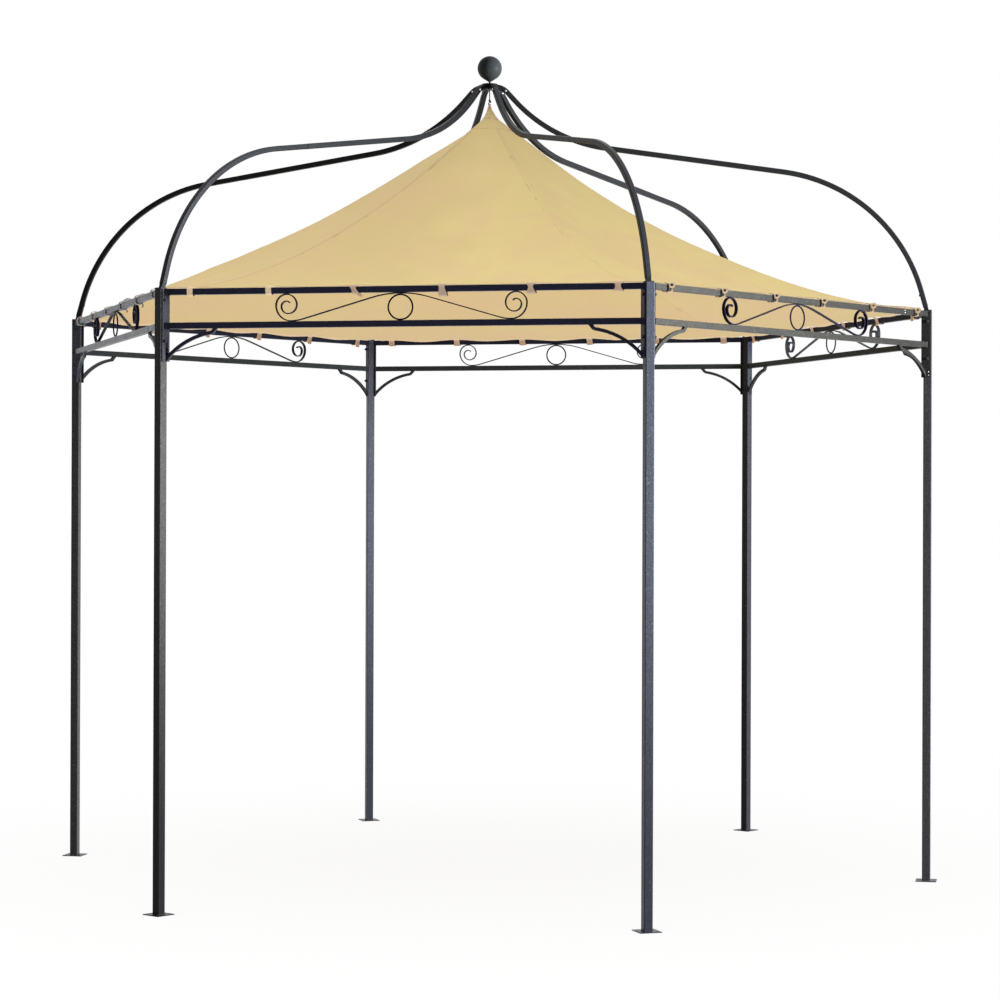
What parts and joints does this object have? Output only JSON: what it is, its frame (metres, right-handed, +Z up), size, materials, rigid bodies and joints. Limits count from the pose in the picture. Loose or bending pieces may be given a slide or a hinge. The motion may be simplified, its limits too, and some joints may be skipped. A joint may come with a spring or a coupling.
{
  "type": "garden gazebo",
  "caption": "Free-standing hexagonal garden gazebo: square steel posts, scrollwork between paired rails, ogee roof ribs under a ball, and a hung fabric canopy.",
  "frame": {"origin": "on the ground at the centre of the six posts", "axes": "+Z up, post 1 stands on +X, the sides facing +Y and -Y are parallel to X"},
  "size_m": [3.58, 3.1404, 3.2698],
  "materials": {
    "frame": "fine textured anthracite powder coat, low gloss",
    "canopy": "woven polyester, sand, matte",
    "straps": "the canopy's cloth doubled and stitched, with press studs",
    "hook": "black coated steel"
  },
  "bodies": {
    "root": {"post_1": "frame", "post_2": "frame", "post_3": "frame", "post_4": "frame", "post_5": "frame", "post_6": "frame", "post_caps": "frame", "side_frame_1": "frame", "side_frame_2": "frame", "side_frame_3": "frame", "side_frame_4": "frame", "side_frame_5": "frame", "side_frame_6": "frame", "scroll_1": "frame", "scroll_2": "frame", "scroll_3": "frame", "scroll_4": "frame", "scroll_5": "frame", "scroll_6": "frame", "rib_lower_1": "frame", "rib_lower_2": "frame", "rib_lower_3": "frame", "rib_lower_4": "frame", "rib_lower_5": "frame", "rib_lower_6": "frame", "rib_upper_1": "frame", "rib_upper_2": "frame", "rib_upper_3": "frame", "rib_upper_4": "frame", "rib_upper_5": "frame", "rib_upper_6": "frame", "straps_1": "straps", "straps_2": "straps", "straps_3": "straps", "straps_4": "straps", "straps_5": "straps", "straps_6": "straps", "hub": "frame", "ball": "frame", "hook": "hook", "canopy": "canopy"}
  },
  "joints": []
}
